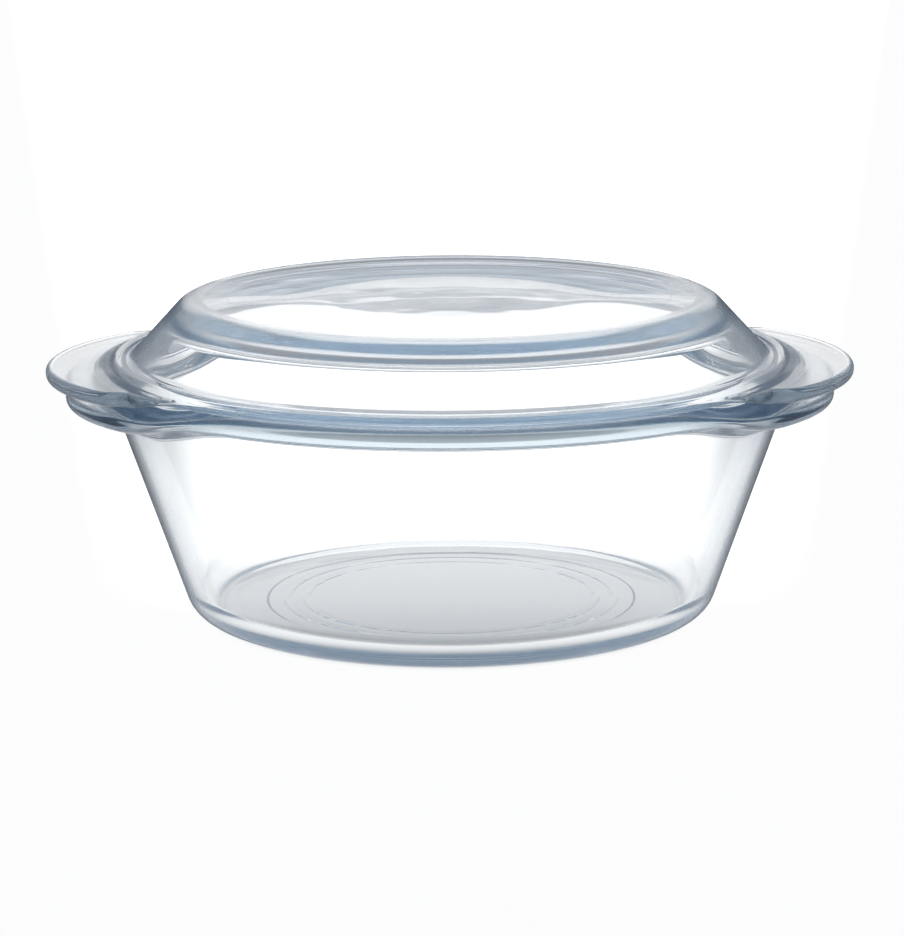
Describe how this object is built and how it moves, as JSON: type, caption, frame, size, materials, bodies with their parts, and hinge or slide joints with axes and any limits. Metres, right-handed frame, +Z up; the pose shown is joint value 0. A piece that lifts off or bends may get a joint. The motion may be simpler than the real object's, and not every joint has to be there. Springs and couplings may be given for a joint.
{
  "type": "covered casserole dish",
  "caption": "Round clear glass casserole dish with a tapered wall and side lugs, and a domed glass lid that rests on its rim, has matching lugs and lifts off.",
  "frame": {"origin": "centre of the dish's foot, on the surface that it stands on", "axes": "+X from the centre to one lug, +Z up along the axis of the round dish, which is the way the lid lifts"},
  "size_m": [0.25, 0.2216, 0.0984],
  "materials": {
    "dish_glass": "clear pressed heat-resistant glass, faint blue-grey at the edges",
    "lid_glass": "clear pressed heat-resistant glass, faint blue-grey at the edges"
  },
  "bodies": {
    "dish": {"base_dish": "dish_glass"},
    "lid": {"lid": "lid_glass"}
  },
  "joints": [
    {"name": "lid_lift", "type": "slide", "parent": "dish", "child": "lid", "axis": [0, 0, 1], "range_m": [0, 0.12]}
  ]
}
